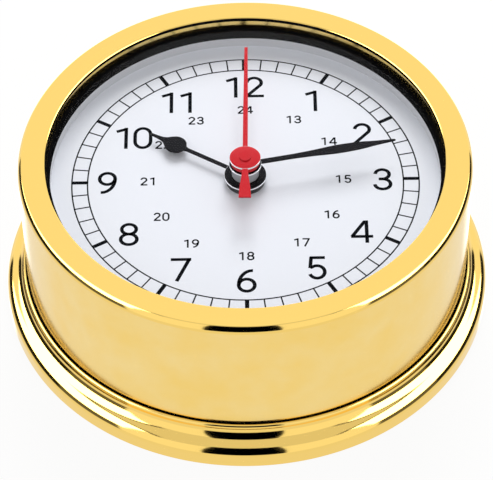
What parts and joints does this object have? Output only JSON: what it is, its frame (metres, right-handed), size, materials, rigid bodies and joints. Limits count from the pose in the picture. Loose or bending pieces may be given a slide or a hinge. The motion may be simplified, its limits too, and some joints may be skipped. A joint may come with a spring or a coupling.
{
  "type": "wall clock",
  "caption": "Round brass-cased quartz wall clock with a moulded base ring, domed glass, white twelve-hour dial and three hands on one centre.",
  "frame": {"origin": "centre of the flat underside of the base ring and rear cover, the face that lies against the wall", "axes": "+Z along the hands' common axis, out of the dial; +Y towards twelve o'clock; +X towards three o'clock"},
  "size_m": [0.12, 0.12, 0.05],
  "materials": {
    "case_brass": "polished",
    "ring_brass": "polished",
    "glass": "clear, polished",
    "gasket_black": "satin",
    "rehaut_pale": "matte",
    "dial_white": "satin",
    "support_black": "matte",
    "cover_black": "fine matte grain",
    "screw_steel": "zinc plated",
    "housing_black": "matte",
    "rear_housing_black": "matte",
    "washer_rubber": "matte",
    "nut_brass": "satin",
    "battery_grey": "satin",
    "contact_steel": "nickel plated",
    "spring_steel": "nickel plated",
    "board_green": "gloss",
    "chip_black": "gloss",
    "crystal_steel": "satin",
    "stator_steel": "dull",
    "bobbin_white": "matte",
    "winding_copper": "enamelled copper wire",
    "plate_white": "matte",
    "magnet_dark": "dull",
    "rotor_pinion_white": "satin",
    "fifth_wheel_white": "satin",
    "fifth_pinion_white": "satin",
    "seconds_wheel_white": "satin",
    "arbor_steel": "polished",
    "third_wheel_white": "satin",
    "third_pinion_white": "satin",
    "centre_wheel_brass": "satin",
    "motion_wheel_white": "satin",
    "hour_wheel_brass": "satin",
    "knob_black": "matte",
    "hour_hand_black": "satin",
    "collar_brass": "satin",
    "minute_hand_black": "satin",
    "bush_chrome": "polished",
    "second_hand_red": "satin",
    "second_bush_red": "gloss"
  },
  "bodies": {
    "case": {"case_drum": "case_brass", "base_ring": "ring_brass", "glass": "glass", "gasket_ring": "gasket_black", "rehaut_ring": "rehaut_pale", "dial_plate": "dial_white", "dial_support": "support_black", "rear_cover": "cover_black", "cover_screws": "screw_steel", "front_housing": "housing_black", "rear_housing": "rear_housing_black", "rubber_washer": "washer_rubber", "dial_nut": "nut_brass", "battery": "battery_grey", "contact_plus": "contact_steel", "contact_minus": "spring_steel", "circuit_board": "board_green", "chip_cap": "chip_black", "crystal_can": "crystal_steel", "stator": "stator_steel", "coil_bobbin": "bobbin_white", "coil_winding": "winding_copper", "train_plate": "plate_white"},
    "minute": {"minute_hand": "minute_hand_black", "minute_bush": "bush_chrome", "centre_wheel": "centre_wheel_brass"},
    "hour": {"hour_hand": "hour_hand_black", "hour_collar": "collar_brass", "hour_wheel": "hour_wheel_brass"},
    "second": {"second_hand": "second_hand_red", "second_bush": "second_bush_red", "seconds_arbor": "arbor_steel", "seconds_wheel": "seconds_wheel_white"},
    "setting": {"motion_wheel": "motion_wheel_white", "setting_knob": "knob_black"},
    "third": {"third_wheel": "third_wheel_white", "third_pinion": "third_pinion_white"},
    "fifth": {"fifth_wheel": "fifth_wheel_white", "fifth_pinion": "fifth_pinion_white"},
    "rotor": {"rotor_magnet": "magnet_dark", "rotor_pinion": "rotor_pinion_white"}
  },
  "joints": [
    {"name": "minute_turn", "type": "hinge", "parent": "case", "child": "minute", "pos_m": [0, 0, 0.04], "axis": [0, 0, -1], "continuous": true},
    {"name": "hour_turn", "type": "hinge", "parent": "case", "child": "hour", "pos_m": [0, 0, 0.037], "axis": [0, 0, -1], "continuous": true},
    {"name": "second_turn", "type": "hinge", "parent": "case", "child": "second", "pos_m": [0, 0, 0.043], "axis": [0, 0, -1], "continuous": true},
    {"name": "setting_turn", "type": "hinge", "parent": "case", "child": "setting", "pos_m": [0.00846, -0.00308, 0.03], "axis": [0, 0, -1], "continuous": true},
    {"name": "third_turn", "type": "hinge", "parent": "case", "child": "third", "pos_m": [-0.00779, 0.0045, 0.0258], "axis": [0, 0, -1], "continuous": true},
    {"name": "fifth_turn", "type": "hinge", "parent": "case", "child": "fifth", "pos_m": [0.0021, 0.00782, 0.0245], "axis": [0, 0, -1], "continuous": true},
    {"name": "rotor_turn", "type": "hinge", "parent": "case", "child": "rotor", "pos_m": [0.00343, 0.01541, 0.0222], "axis": [0, 0, -1], "continuous": true}
  ],
  "couplings": [
    {"joint": "hour_turn", "follows": "minute_turn", "ratio": 0.083333},
    {"joint": "second_turn", "follows": "minute_turn", "ratio": 60},
    {"joint": "setting_turn", "follows": "minute_turn", "ratio": -0.33333},
    {"joint": "third_turn", "follows": "minute_turn", "ratio": -8},
    {"joint": "fifth_turn", "follows": "minute_turn", "ratio": -300},
    {"joint": "rotor_turn", "follows": "minute_turn", "ratio": 1800}
  ]
}
